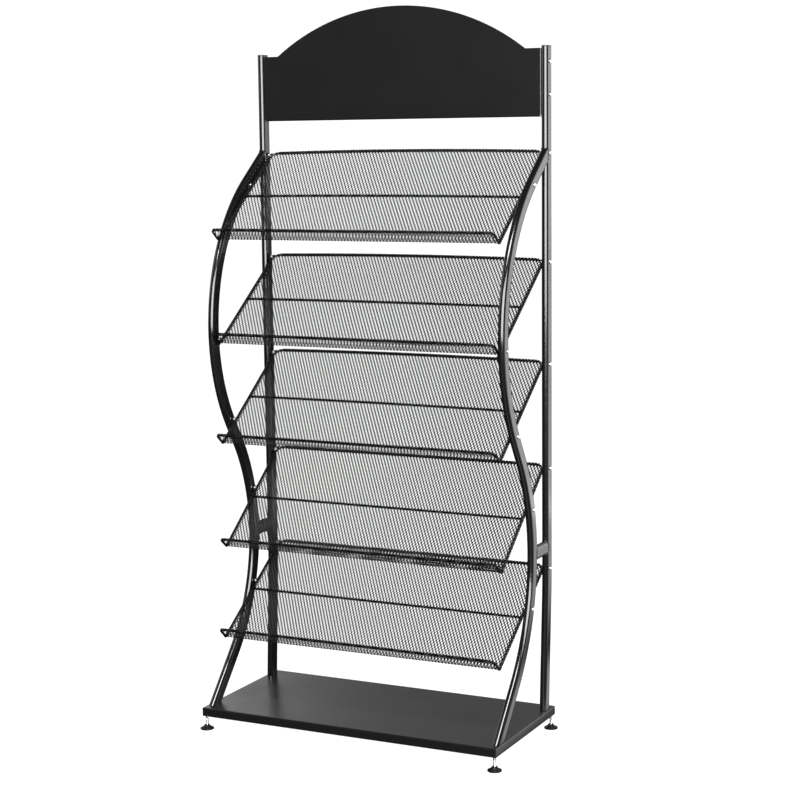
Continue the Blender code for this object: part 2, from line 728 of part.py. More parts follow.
def main():
    clear_scene()
    powder = make_material("black_powder_coat", (0.022, 0.022, 0.023), 0.0, 0.38)
    wire_coat = make_material("black_wire_coat", (0.018, 0.018, 0.019), 0.0, 0.42)
    plastic = make_material("black_plug_plastic", (0.020, 0.020, 0.021), 0.0, 0.45)
    foot_plastic = make_material("black_foot_plastic", (0.016, 0.016, 0.016), 0.0, 0.40)
    zinc = make_material("bright_zinc", (0.72, 0.73, 0.74), 1.0, 0.28)
    steel = make_material("plain_steel", (0.45, 0.45, 0.46), 1.0, 0.45)

    stations = front_tube_path()
    rear_eyelets = [eyelet_world(height, tilt, rear_eyelet(tilt)) for height, tilt, _ in SHELVES]
    front_eyelets = [eyelet_world(height, tilt, front) for height, tilt, front in SHELVES]

    build_base(powder)
    build_uprights(powder, plastic, rear_eyelets)
    build_front_tubes(powder, stations, front_eyelets)
    build_links(powder, stations)
    build_header(powder)
    build_shelves(wire_coat)
    build_screws(zinc)
    build_base_bolts(zinc)
    build_feet(steel, zinc, foot_plastic)


main()
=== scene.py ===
import math
import random

import bmesh
import bpy
import numpy as np
from mathutils import Matrix, Vector


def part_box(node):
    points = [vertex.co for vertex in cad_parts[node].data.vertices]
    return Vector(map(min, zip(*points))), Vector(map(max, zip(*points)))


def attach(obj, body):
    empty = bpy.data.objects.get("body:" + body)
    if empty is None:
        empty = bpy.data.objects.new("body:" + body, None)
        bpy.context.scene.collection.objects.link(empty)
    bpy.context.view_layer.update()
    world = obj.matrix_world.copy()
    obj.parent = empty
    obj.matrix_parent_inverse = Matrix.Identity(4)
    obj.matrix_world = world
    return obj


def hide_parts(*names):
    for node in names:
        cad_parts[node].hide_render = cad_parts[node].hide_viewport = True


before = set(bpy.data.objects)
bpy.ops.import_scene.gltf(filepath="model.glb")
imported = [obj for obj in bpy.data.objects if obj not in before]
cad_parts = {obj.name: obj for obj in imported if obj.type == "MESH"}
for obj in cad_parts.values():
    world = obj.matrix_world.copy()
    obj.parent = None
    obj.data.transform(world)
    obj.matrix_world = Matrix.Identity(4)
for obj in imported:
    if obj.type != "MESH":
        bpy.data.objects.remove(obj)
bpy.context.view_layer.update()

SIDES = (("left", -1.0), ("right", 1.0))
CORNERS = tuple(f"{where}_{side}" for where in ("front", "rear") for side, _ in SIDES)
SHARP_FROM = 35.0                # edges above this angle, in degrees, stay sharp
rng = random.Random(41)

# ---------------------------------------------------------------- dimensions shared with the CAD

GAP = 0.0003
BASE_SHEET, BASE_RETURN, BASE_BEND = 0.0010, 0.0260, 0.0020
TUBE_WIDTH, TUBE_DEPTH, TUBE_WALL = 0.014, 0.028, 0.0012
TUBE_NOSE = TUBE_WIDTH / 2.0
TUBE_REACH = TUBE_DEPTH / 2.0 - TUBE_NOSE
PLUG_LOW, PLUG_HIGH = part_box("upright_plug_right")
TUBE_X = (PLUG_LOW.x + PLUG_HIGH.x) / 2.0
UPRIGHT_Y = (PLUG_LOW.y + PLUG_HIGH.y) / 2.0
UPRIGHT_BOTTOM, UPRIGHT_TOP = (corner.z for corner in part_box("upright_right"))
BASE_LOW, BASE_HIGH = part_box("base_tray")
BASE_TOP = BASE_HIGH.z
TIE_Z = sum(corner.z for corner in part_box("tie_bar_right")) / 2.0
WELD_STEP, WELD_PUDDLE = 0.0007, 0.0026
FOOT_HOLE, BOLT_HOLE, BOLT_ACCESS = 0.0034, 0.0028, 0.0060
ARCH_HALF, SHOULDER_Z = 0.2745, 1.357
HEADER_SHEET, HEADER_BEND, HEADER_SILL = 0.0012, 0.0022, 0.0140

# Tubes: foot position and lean, then (run, lean reached, radius) for each straight run and the bend after it
FRONT_FOOT_Y = -0.1166
FRONT_LEAN = math.radians(41.3)
FRONT_STRETCHES = (
    (0.1216, math.radians(-32.5), -0.3641),
    (0.0499, math.radians(52.35), 0.3652),
)
UPRIGHT_FOOT_Y = 0.1168
UPRIGHT_LEAN = math.radians(3.3)
UPRIGHT_STRETCHES = ((0.2300, 0.0, -1.0),)

# Shelves: rear wire height, tilt, distance down the slope to the front eyelets
SHELVES = (
    (1.1593, math.radians(36.8), 0.1120),
    (0.9481, math.radians(35.9), 0.2750),
    (0.7470, math.radians(36.5), 0.2160),
    (0.5401, math.radians(38.3), 0.1230),
    (0.3362, math.radians(34.0), 0.1240),
)
SHELF_BOWS = (0.0048, 0.0042, 0.0040, 0.0006, 0.0004)   # how far each sprung rear wire arches off its shelf
SHELF_REAR_Y = 0.1453
SHELF_HALF = 0.3042
SHELF_SLOPE, SHELF_LIP = 0.280, 0.033
SHELF_LEAN = math.pi - math.radians(103.9)
REAR_CORNER, LIP_CORNER, FOLD_RADIUS = 0.018, 0.010, 0.0026
BORDER_WIRE, MIDDLE_WIRE, MIDDLE_AT = 0.0020, 0.00175, 0.516
MIDDLE_LEVEL = 0.0023
EYELET_RISE = 0.0060
EYELET_INNER_FACE = TUBE_X - TUBE_NOSE - GAP - 0.0020

# ---------------------------------------------------------------- mesh helpers

def add_object(name, data):
    item = bpy.data.objects.new(name, data)
    bpy.context.scene.collection.objects.link(item)
    return item


def shade(mesh, sharp_from=SHARP_FROM):
    mesh.shade_smooth()
    mesh.set_sharp_from_angle(angle=math.radians(sharp_from))


def node_centre(node):
    """Middle of a CAD piece in plan, at floor level."""
    low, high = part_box(node)
    return ((low.x + high.x) / 2.0, (low.y + high.y) / 2.0, 0.0)


def around(axis, radius, angle, position):
    """A point at a radius and angle about the Z or X axis, at a position along it."""
    u, v = radius * math.cos(angle), radius * math.sin(angle)
    return Vector((u, v, position)) if axis == "Z" else Vector((position, u, v))


def round_angles(sides):
    return [2.0 * math.pi * k / sides for k in range(sides)]


def quarter_turn(steps, first=0):
    return [math.radians(90.0 * i / steps) for i in range(first, steps + 1)]


def to_object(name, vertices, faces, smooth=SHARP_FROM):
    mesh = bpy.data.meshes.new(name)
    mesh.from_pydata([tuple(v) for v in vertices], [], faces)
    bm = bmesh.new()
    bm.from_mesh(mesh)
    bmesh.ops.remove_doubles(bm, verts=bm.verts, dist=1e-6)
    bmesh.ops.recalc_face_normals(bm, faces=bm.faces)
    bm.to_mesh(mesh)
    bm.free()
    shade(mesh, smooth)
    return add_object(name, mesh)


class Build:
    """Vertices and faces of one piece, gathered from several solids."""

    def __init__(self):
        self.vertices = []
        self.faces = []

    def rings(self, rings, closed=False):
        start = len(self.vertices)
        count = len(rings[0])
        for ring in rings:
            self.vertices.extend(tuple(p) for p in ring)
        pairs = [(i, i + 1) for i in range(len(rings) - 1)]
        if closed:
            pairs.append((len(rings) - 1, 0))
        for a, b in pairs:
            for i in range(count):
                j = (i + 1) % count
                self.faces.append((start + a * count + i, start + a * count + j,
                                   start + b * count + j, start + b * count + i))
        if not closed:
            self.faces.append(tuple(start + i for i in reversed(range(count))))
            last = start + (len(rings) - 1) * count
            self.faces.append(tuple(last + i for i in range(count)))

    def object(self, name, smooth=SHARP_FROM):
        return to_object(name, self.vertices, self.faces, smooth)


def sweep(path, radius, sides, closed=False):
    """Rings of a round section carried along a path without twisting; radius may be a list."""
    count = len(path)
    rings = []
    across = None
    for i, point in enumerate(path):
        before = path[(i - 1) % count] if closed or i > 0 else point
        after = path[(i + 1) % count] if closed or i < count - 1 else point
        arriving = (point - before).normalized() if (point - before).length > 1e-9 else None
        leaving = (after - point).normalized() if (after - point).length > 1e-9 else None
        tangent = ((arriving or leaving) + (leaving or arriving)).normalized()
        if across is None:
            across = tangent.orthogonal().normalized()
        across = (across - tangent * across.dot(tangent)).normalized()
        other = tangent.cross(across)
        size = radius[i] if isinstance(radius, (list, tuple)) else radius
        ring = []
        for angle in round_angles(sides):
            ring.append(point + across * (size * math.cos(angle)) + other * (size * math.sin(angle)))
        rings.append(ring)
    return rings


def turned(profile, sides, axis="Z", centre=(0.0, 0.0, 0.0)):
    """Rings of a turned solid from (radius, position) pairs."""
    centre = Vector(centre)
    return [[centre + around(axis, radius, angle, position) for angle in round_angles(sides)]
            for radius, position in profile]


def fillet(points, radii, steps):
    """Round the inner corners of an open 2-D or 3-D path; radii has one entry per corner."""
    path = [points[0]]
    for i in range(1, len(points) - 1):
        corner, radius = points[i], radii[i - 1]
        a = (points[i - 1] - corner).normalized()
        b = (points[i + 1] - corner).normalized()
        half = a.angle(b) / 2.0
        trim = radius / math.tan(half)
        centre = corner + (a + b).normalized() * (radius / math.sin(half))
        start, end = corner + a * trim - centre, corner + b * trim - centre
        sweep_angle = start.angle(end)
        for k in range(steps + 1):
            t = k / steps
            mix = (start * math.sin((1 - t) * sweep_angle) + end * math.sin(t * sweep_angle))
            path.append(centre + mix / math.sin(sweep_angle))
    path.append(points[-1])
    return path


def cut(item, cutter_build):
    """Subtract a gathered solid from a piece and keep the result as plain mesh."""
    tool = cutter_build.object(item.name + "_cutter")
    modifier = item.modifiers.new("cut", "BOOLEAN")
    modifier.operation = "DIFFERENCE"
    modifier.solver = "EXACT"
    modifier.object = tool
    bpy.context.view_layer.update()
    evaluated = item.evaluated_get(bpy.context.evaluated_depsgraph_get())
    mesh = bpy.data.meshes.new_from_object(evaluated)
    item.modifiers.clear()
    item.data = mesh
    shade(mesh)
    bpy.data.objects.remove(tool, do_unlink=True)


def place(item, node, material, body="rack"):
    """Give a finished piece its material and its body, and hide the CAD nodes it stands for."""
    item.data.materials.clear()
    item.data.materials.append(material)
    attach(item, body)
    if node:
        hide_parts(node)


# ---------------------------------------------------------------- materials

def new_material(name, colour, metallic, roughness):
    material = bpy.data.materials.new(name)
    material.use_nodes = True
    shader = material.node_tree.nodes["Principled BSDF"]
    shader.inputs["Base Color"].default_value = (*colour, 1.0)
    shader.inputs["Metallic"].default_value = metallic
    shader.inputs["Roughness"].default_value = roughness
    material.diffuse_color = (*colour, 1.0)
    return material, material.node_tree, shader


def noise(tree, coords, scale, detail=2.0, roughness=0.5):
    node = tree.nodes.new("ShaderNodeTexNoise")
    node.inputs["Scale"].default_value = scale
    node.inputs["Detail"].default_value = detail
    node.inputs["Roughness"].default_value = roughness
    tree.links.new(coords, node.inputs["Vector"])
    return node.outputs["Fac"]


def map_range(tree, value, low, high, from_low=0.3, from_high=0.7):
    node = tree.nodes.new("ShaderNodeMapRange")
    node.inputs["From Min"].default_value = from_low
    node.inputs["From Max"].default_value = from_high
    node.inputs["To Min"].default_value = low
    node.inputs["To Max"].default_value = high
    tree.links.new(value, node.inputs["Value"])
    return node.outputs["Result"]


def mix_colour(tree, factor, first, second):
    node = tree.nodes.new("ShaderNodeMix")
    node.data_type = "RGBA"
    node.inputs["A"].default_value = (*first, 1.0)
    node.inputs["B"].default_value = (*second, 1.0)
    tree.links.new(factor, node.inputs["Factor"])
    return node.outputs["Result"]


def math_node(tree, operation, first, second):
    node = tree.nodes.new("ShaderNodeMath")
    node.operation = operation
    tree.links.new(first, node.inputs[0])
    tree.links.new(second, node.inputs[1])
    return node.outputs[0]


def bump(tree, shader, height, distance, strength):
    node = tree.nodes.new("ShaderNodeBump")
    node.inputs["Distance"].default_value = distance
    node.inputs["Strength"].default_value = strength
    tree.links.new(height, node.inputs["Height"])
    tree.links.new(node.outputs["Normal"], shader.inputs["Normal"])


def object_coords(tree):
    return tree.nodes.new("ShaderNodeTexCoord").outputs["Object"]


def speckle(tree, shader, factor, colour, ratio):
    """Vary the base colour between itself and itself times a ratio."""
    other = tuple(c * ratio for c in colour)
    mix = mix_colour(tree, map_range(tree, factor, 0.0, 1.0), colour, other)
    tree.links.new(mix, shader.inputs["Base Color"])


def coat_material(name, colour, roughness, spread, peel_size, peel_depth, specular=0.5):
    """Powder coat: orange peel, a slow change of gloss and a fine grain of pigment."""
    material, tree, shader = new_material(name, colour, 0.0, roughness)
    coords = object_coords(tree)
    clouds = noise(tree, coords, 9.0, 3.0)
    grain = noise(tree, coords, 1.0 / PIGMENT_SIZE, 1.0)
    peel = noise(tree, coords, 1.0 / peel_size, 2.0, 0.45)
    gloss = math_node(tree, "ADD", map_range(tree, clouds, roughness - spread, roughness + spread),
                      map_range(tree, grain, -0.03, 0.03))
    tree.links.new(gloss, shader.inputs["Roughness"])
    speckle(tree, shader, grain, colour, 1.22)
    shader.inputs["IOR"].default_value = 1.50
    shader.inputs["Specular IOR Level"].default_value = specular
    bump(tree, shader, peel, peel_depth, 0.6)
    return material


def metal_material(name, colour, roughness, brush=(1.0, 1.0, 1.0)):
    """Bare or plated metal with fine tool lines, stretched by brush, and dull stains."""
    material, tree, shader = new_material(name, colour, 1.0, roughness)
    coords = object_coords(tree)
    mapping = tree.nodes.new("ShaderNodeMapping")
    mapping.inputs["Scale"].default_value = brush
    tree.links.new(coords, mapping.inputs["Vector"])
    lines = noise(tree, mapping.outputs["Vector"], 900.0, 3.0)
    stains = noise(tree, coords, 160.0, 3.0)
    tree.links.new(map_range(tree, lines, roughness - 0.06, roughness + 0.08), shader.inputs["Roughness"])
    speckle(tree, shader, stains, colour, 0.80)
    bump(tree, shader, lines, 0.00002, 0.25)
    return material


def plastic_material(name, colour, roughness, grain_size, specular=0.5):
    """Moulded plastic with a fine spark-eroded grain and a few handling marks."""
    material, tree, shader = new_material(name, colour, 0.0, roughness)
    coords = object_coords(tree)
    grain = noise(tree, coords, 1.0 / grain_size, 2.0)
    marks = noise(tree, coords, 120.0, 4.0, 0.6)
    tree.links.new(map_range(tree, marks, roughness - 0.08, roughness + 0.10), shader.inputs["Roughness"])
    speckle(tree, shader, marks, colour, 1.35)
    shader.inputs["Specular IOR Level"].default_value = specular
    bump(tree, shader, grain, 0.00004, 0.4)
    return material


PIGMENT_SIZE = 0.0004

# coats: colour, roughness and its spread, orange peel's size and depth, specular level
POWDER = coat_material("powder_coat_tube", (0.0026, 0.0026, 0.0027), 0.15, 0.02, 0.0011, 0.000006)
PANEL = coat_material("powder_coat_panel", (0.0020, 0.0020, 0.0021), 0.30, 0.01, 0.0009, 0.00003)
TRAY = coat_material("powder_coat_tray", (0.0150, 0.0150, 0.0153), 0.29, 0.04, 0.0010, 0.00003)
WIRE = coat_material("powder_coat_wire", (0.0024, 0.0024, 0.0025), 0.30, 0.04, 0.0008, 0.00002, 0.08)
MESH = coat_material("powder_coat_mesh", (0.0026, 0.0026, 0.0027), 0.36, 0.04, 0.0007, 0.00002, 0.22)
PLUG = plastic_material("moulded_plug_plastic", (0.016, 0.016, 0.0165), 0.40, 0.0004)
FOOT = plastic_material("moulded_foot_plastic", (0.0040, 0.0040, 0.0042), 0.38, 0.0005, 0.18)
ZINC = metal_material("bright_zinc_plate", (0.84, 0.85, 0.86), 0.26)
STEEL = metal_material("plain_steel_turned", (0.46, 0.46, 0.47), 0.38, (1.0, 1.0, 8.0))


# ---------------------------------------------------------------- tubes

def oval(width, depth, segments=14, ease=0.0009):
    """Flat-oval outline with an extra point beside each tangent so that the flats shade flat."""
    radius = width / 2.0
    reach = depth / 2.0 - radius
    points = []
    for end in (1.0, -1.0):
        points.append((end * radius, end * (reach - ease)))
        for i in range(segments + 1):
            angle = math.pi * i / segments
            points.append((end * radius * math.cos(angle), end * (reach + radius * math.sin(angle))))
        points.append((-end * radius, end * (reach - ease)))
    return points


def nose_y(u):
    """Front of an upright, at distance u from its middle plane."""
    return UPRIGHT_Y - TUBE_REACH - math.sqrt(max(TUBE_NOSE ** 2 - u ** 2, 0.0))


def stations_along(y, lean, stretches, step=math.radians(2.4)):
    """(y, z, lean) up a bent tube's centre line from the tray's top."""
    z = BASE_TOP
    stations = [(y, z, lean)]
    for run, final, radius in stretches:
        for _ in range(2):
            y += 0.5 * run * math.sin(lean)
            z += 0.5 * run * math.cos(lean)
            stations.append((y, z, lean))
        steps = max(4, math.ceil(abs(final - lean) / step))
        centre_y = y + radius * math.cos(lean)
        centre_z = z - radius * math.sin(lean)
        start = lean
        for i in range(1, steps + 1):
            lean = start + (final - start) * i / steps
            y = centre_y - radius * math.cos(lean)
            z = centre_z + radius * math.sin(lean)
            stations.append((y, z, lean))
    return stations


def tube_stations():
    stations = stations_along(FRONT_FOOT_Y, FRONT_LEAN, FRONT_STRETCHES)
    y, z, lean = stations[-1]
    run = (UPRIGHT_Y - y) / math.sin(lean)
    for part in (0.45, 0.55):
        y += part * run * math.sin(lean)
        z += part * run * math.cos(lean)
        stations.append((y, z, lean))
    return stations


def upright_rings(shrink):
    rings = []
    outline = oval(TUBE_WIDTH - 2.0 * shrink, TUBE_DEPTH - 2.0 * shrink)
    for y, z, lean in stations_along(UPRIGHT_FOOT_Y, UPRIGHT_LEAN, UPRIGHT_STRETCHES):
        along = Vector((0.0, math.sin(lean), math.cos(lean)))
        across = Vector((0.0, math.cos(lean), -math.sin(lean)))
        ring = [Vector((u, y, z)) + across * v for u, v in outline]
        if not rings:
            ring = [point + along * ((UPRIGHT_BOTTOM - point.z) / along.z) for point in ring]
        rings.append(ring)
    for z in (UPRIGHT_TOP - 0.0005, UPRIGHT_TOP):
        rings.append([Vector((u, v + UPRIGHT_Y, z)) for u, v in outline])
    return rings


def front_tube_rings(stations, shrink):
    rings = []
    outline = oval(TUBE_WIDTH - 2.0 * shrink, TUBE_DEPTH - 2.0 * shrink)
    for index, (y, z, lean) in enumerate(stations):
        along = Vector((0.0, math.sin(lean), math.cos(lean)))
        across = Vector((0.0, math.cos(lean), -math.sin(lean)))
        ring = []
        for u, v in outline:
            point = Vector((u, y, z)) + across * v
            if index == 0:
                point += along * ((UPRIGHT_BOTTOM - point.z) / along.z)
            if index == len(stations) - 1:
                point += along * ((nose_y(u) - GAP - point.y) / along.y)
            ring.append(point)
        rings.append(ring)
    return rings


def shift(rings, x):
    return [[Vector((p.x + x, p.y, p.z)) for p in ring] for ring in rings]


def weld_bead(name, loop, size, x):
    """A run of overlapping weld puddles along a closed loop."""
    lengths = [0.0]
    for a, b in zip(loop, loop[1:] + loop[:1]):
        lengths.append(lengths[-1] + (b - a).length)
    total = lengths[-1]
    count = int(total / WELD_STEP)
    pitch = total / round(total / WELD_PUDDLE)
    path, sizes = [], []
    for i in range(count):
        at = total * i / count
        k = max(j for j in range(len(loop)) if lengths[j] <= at)
        following = loop[(k + 1) % len(loop)]
        span = max(lengths[k + 1] - lengths[k], 1e-9)
        path.append(loop[k].lerp(following, (at - lengths[k]) / span))
        phase = (at % pitch) / pitch
        sizes.append(size * (0.80 + 0.28 * math.sin(math.pi * phase)) * (0.94 + 0.12 * rng.random()))
    build = Build()
    build.rings(shift(sweep(path, sizes, 8, True), x), True)
    place(build.object(name, 60.0), None, POWDER)


def tie_end(stations, shrink, rear):
    """One end of a tie bar, coped round the upright's nose or the back of the front tube."""
    ring = []
    for u, v in oval(TUBE_WIDTH - 2.0 * shrink, TUBE_DEPTH - 2.0 * shrink):
        z = TIE_Z + v
        if rear:
            y = nose_y(u) - GAP
        else:
            near_y, near_z, lean = min(stations, key=lambda station: abs(station[1] - z))
            half_depth = TUBE_REACH + math.sqrt(max(TUBE_NOSE ** 2 - u ** 2, 0.0))
            y = near_y + (z - near_z) * math.tan(lean) + half_depth / math.cos(lean) + GAP
        ring.append(Vector((u, y, z)))
    return ring


def halfway(first, second):
    return [p.lerp(q, 0.5) for p, q in zip(first, second)]


def build_tube(node, ending, rings, x):
    build = Build()
    build.rings(shift(rings, x), True)
    place(build.object(node + ending), node, POWDER)


def build_tubes():
    stations = tube_stations()
    outer, inner = front_tube_rings(stations, 0.0), front_tube_rings(stations, TUBE_WALL)
    upright = upright_rings(0.0) + upright_rings(TUBE_WALL)[::-1]
    front, rear = tie_end(stations, 0.0, False), tie_end(stations, 0.0, True)
    front_bore, rear_bore = tie_end(stations, TUBE_WALL, False), tie_end(stations, TUBE_WALL, True)
    tie = [front, halfway(front, rear), rear, rear_bore, halfway(rear_bore, front_bore), front_bore]
    top_loop = [p - Vector((0.0, 0.0006, 0.0)) for p in outer[-1]]
    for side, x_sign in SIDES:
        x = x_sign * TUBE_X
        build_tube("front_tube_" + side, "_bent", outer + inner[::-1], x)
        build_tube("upright_" + side, "_tube", upright, x)
        weld_bead("weld_front_tube_top_" + side, top_loop, 0.0013, x)
        build_tube("tie_bar_" + side, "_tube", tie, x)
        weld_bead("weld_tie_front_" + side, front, 0.0012, x)
        weld_bead("weld_tie_rear_" + side, rear, 0.0012, x)


def build_plugs():
    low = UPRIGHT_TOP + GAP
    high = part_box("upright_plug_right")[1].z
    full = (TUBE_WIDTH, TUBE_DEPTH)
    grip = tuple(size - 2.0 * (TUBE_WALL + GAP) for size in full)
    crown = 0.0012
    for side, x_sign in SIDES:
        node = "upright_plug_" + side
        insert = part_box(node)[0].z
        shape = [(grip, 0.0008, insert), (grip, 0.0, insert + 0.0015), (grip, 0.0, low)]
        shape += [(full, 0.00015, low), (full, 0.0, low + 0.0002), (full, 0.0, high - crown)]
        for angle in quarter_turn(5, 1):
            shape.append((full, crown * (1.0 - math.cos(angle)), high - crown * (1.0 - math.sin(angle))))
        shape.append((full, 0.0030, high))
        rings = []
        for (width, depth), inset, z in shape:
            outline = oval(width - 2.0 * inset, depth - 2.0 * inset)
            rings.append([Vector((u + x_sign * TUBE_X, v + UPRIGHT_Y, z)) for u, v in outline])
        build = Build()
        build.rings(rings)
        place(build.object(node + "_moulded"), node, PLUG)


# ---------------------------------------------------------------- base tray

def rounded_rectangle(half_x, half_y, radius, steps=5):
    points = []
    for sx, sy, start in ((1, 1, 0), (-1, 1, 90), (-1, -1, 180), (1, -1, 270)):
        for i in range(steps + 1):
            angle = math.radians(start + 90.0 * i / steps)
            points.append((sx * (half_x - radius) + radius * math.cos(angle),
                           sy * (half_y - radius) + radius * math.sin(angle)))
    return points


def build_base():
    half_x, half_y = BASE_HIGH.x, BASE_HIGH.y
    low, top = BASE_LOW.z, BASE_TOP

    def skin(offset):
        """(inset, z) pairs from the return flange's edge round to the deck, offset into the sheet."""
        bend = BASE_BEND - offset
        pairs = [(BASE_RETURN, low + offset), (BASE_BEND + 0.001, low + offset)]
        for angle in quarter_turn(5):
            pairs.append((BASE_BEND - bend * math.sin(angle), low + BASE_BEND - bend * math.cos(angle)))
        pairs += [(offset, low + BASE_BEND + 0.001), (offset, top - BASE_BEND - 0.001)]
        for angle in quarter_turn(5):
            pairs.append((BASE_BEND - bend * math.cos(angle), top - BASE_BEND + bend * math.sin(angle)))
        pairs.append((BASE_BEND + 0.001, top - offset))
        return pairs

    rings = []
    for inset, z in skin(BASE_SHEET)[::-1] + skin(0.0):
        corner = max(0.0022 - inset, 0.0004)
        rings.append([Vector((x, y, z)) for x, y in
                      rounded_rectangle(half_x - inset, half_y - inset, corner)])
    build = Build()
    build.rings(rings)
    tray = build.object("base_tray_folded")
    cutter = Build()

    def drill(node, radius, z, sides):
        reach = 0.004
        hole = (radius, z - reach), (radius, z + reach)
        cutter.rings(turned(hole, sides, centre=node_centre(node)))

    for corner in CORNERS:
        drill("foot_stud_" + corner, FOOT_HOLE, low, 32)
    for corner in CORNERS:
        drill("base_bolt_" + corner, BOLT_ACCESS, low, 32)
        drill("base_bolt_" + corner, BOLT_HOLE, top, 24)
    cut(tray, cutter)
    place(tray, "base_tray", TRAY)


# ---------------------------------------------------------------- header

def build_header():
    lo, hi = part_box("header_panel")
    half, front, back = hi.x, lo.y, hi.y
    bottom, peak = lo.z, hi.z
    bend = HEADER_BEND
    rise = peak - SHOULDER_Z
    radius = (ARCH_HALF ** 2 + rise ** 2) / (2.0 * rise)

    def top_at(x):
        if abs(x) >= ARCH_HALF:
            return SHOULDER_Z
        return peak - radius + math.sqrt(radius ** 2 - x ** 2)

    # columns run round the panel: left cheek, left bend, front, right bend, right cheek
    columns = [(-half, back), (-half, back - 0.001), (-half, front + bend + 0.001)]
    for angle in quarter_turn(6):
        columns.append((-half + bend - bend * math.cos(angle), front + bend - bend * math.sin(angle)))
    first_front = len(columns)
    flat = half - bend
    xs = [-flat + 0.001, -(flat + ARCH_HALF) / 2.0, -ARCH_HALF - 0.00001]
    xs += [ARCH_HALF * math.sin(math.radians(-90.0 + 180.0 * i / 72)) * 0.99999 for i in range(73)]
    xs += [ARCH_HALF + 0.00001, (flat + ARCH_HALF) / 2.0, flat - 0.001]
    columns += [(x, front) for x in xs]
    last_front = len(columns)
    columns += [(-x, y) for x, y in reversed(columns[:first_front])]
    vertices, faces = [], []
    levels = (0.0, 0.004, 0.5, 0.98, 1.0)
    low = bottom + bend
    for x, y in columns:
        for t in levels:
            vertices.append((x, y, low + (top_at(x) - low) * t))
    rows = len(levels)
    for c in range(len(columns) - 1):
        for r in range(rows - 1):
            a = c * rows + r
            faces.append((a, a + rows, a + rows + 1, a + 1))
    # sill: the bottom of the front turns back, with a small relief at each end
    sill = []
    for angle in quarter_turn(6, 1):
        sill.append((front + bend - bend * math.cos(angle), low - bend * math.sin(angle)))
    sill += [(front + bend + 0.001, bottom), (front + HEADER_SILL, bottom)]
    previous = {c: c * rows for c in range(first_front, last_front)}
    for y, z in sill:
        current = {}
        for c in range(first_front, last_front):
            current[c] = len(vertices)
            vertices.append((columns[c][0], y, z))
        for c in range(first_front, last_front - 1):
            faces.append((previous[c], current[c], current[c + 1], previous[c + 1]))
        previous = current
    mesh = bpy.data.meshes.new("header")
    mesh.from_pydata(vertices, [], faces)
    panel = add_object("header_panel_folded", mesh)
    bm = bmesh.new()
    bm.from_mesh(mesh)
    bmesh.ops.remove_doubles(bm, verts=bm.verts, dist=1e-7)
    bmesh.ops.recalc_face_normals(bm, faces=bm.faces)
    bm.faces.ensure_lookup_table()
    front_face = min(bm.faces, key=lambda f: f.calc_center_median().y)
    if front_face.normal.y > 0.0:
        bmesh.ops.reverse_faces(bm, faces=bm.faces)
    bm.to_mesh(mesh)
    bm.free()
    thick = panel.modifiers.new("sheet", "SOLIDIFY")
    thick.thickness = HEADER_SHEET
    thick.offset = -1.0
    thick.use_even_offset = True
    bpy.context.view_layer.update()
    done = bpy.data.meshes.new_from_object(panel.evaluated_get(bpy.context.evaluated_depsgraph_get()))
    panel.modifiers.clear()
    panel.data = done
    shade(done)
    place(panel, "header_panel", PANEL)


# ---------------------------------------------------------------- shelves

MESH_ACROSS, MESH_ALONG = 0.0070, 0.0115     # one diamond
BEAD_STEP, BEAD_RISE = 0.0009, 0.0015        # strand ends pressed round the wires


def lip_point(rise, inset):
    return (-SHELF_SLOPE - rise * math.cos(SHELF_LEAN) + inset * math.sin(SHELF_LEAN),
            rise * math.sin(SHELF_LEAN) + inset * math.cos(SHELF_LEAN))


def border_path():
    half = SHELF_HALF
    lip_y, lip_z = lip_point(SHELF_LIP, 0.0)
    corners = [Vector((0.0, 0.0, 0.0)), Vector((half, 0.0, 0.0)), Vector((half, -SHELF_SLOPE, 0.0)),
               Vector((half, lip_y, lip_z)), Vector((0.0, lip_y, lip_z))]
    right = fillet(corners, (REAR_CORNER, FOLD_RADIUS, LIP_CORNER), 9)[1:-1]
    return right + [Vector((-p.x, p.y, p.z)) for p in reversed(right)]


def rear_eyelet(tilt):
    return (SHELF_REAR_Y - UPRIGHT_Y - EYELET_RISE * math.sin(tilt)) / math.cos(tilt)


def arch(mesh, rise):
    """Spring a shelf's surface upward in the middle: most at the rear wire, nothing at the fold or sides."""
    places = np.empty(len(mesh.vertices) * 3)
    mesh.vertices.foreach_get("co", places)
    places = places.reshape(-1, 3)
    across = np.clip(1.0 - (places[:, 0] / SHELF_HALF) ** 2, 0.0, 1.0)
    places[:, 2] += rise * across * np.clip(1.0 + places[:, 1] / SHELF_SLOPE, 0.0, 1.0)
    mesh.vertices.foreach_set("co", places.ravel())
    mesh.update()


def beaded(path, radius, closed=False):
    """The path in short steps, and radii that swell where cut strands are pressed round the wire."""
    corners = path + path[:1] if closed else path
    points, sizes = [], []
    travel = 0.0
    for start, end in zip(corners, corners[1:]):
        length = (end - start).length
        steps = max(1, round(length / BEAD_STEP))
        pitch = MESH_ACROSS / 2.0 if abs(end.x - start.x) > 0.5 * length else MESH_ALONG / 2.0
        rise = BEAD_RISE if length > SHELF_LIP else 0.0
        for i in range(steps):
            swell = math.cos(2.0 * math.pi * (travel + length * i / steps) / pitch)
            points.append(start.lerp(end, i / steps))
            sizes.append(radius + rise * max(0.0, swell))
        travel += length
    return points, sizes


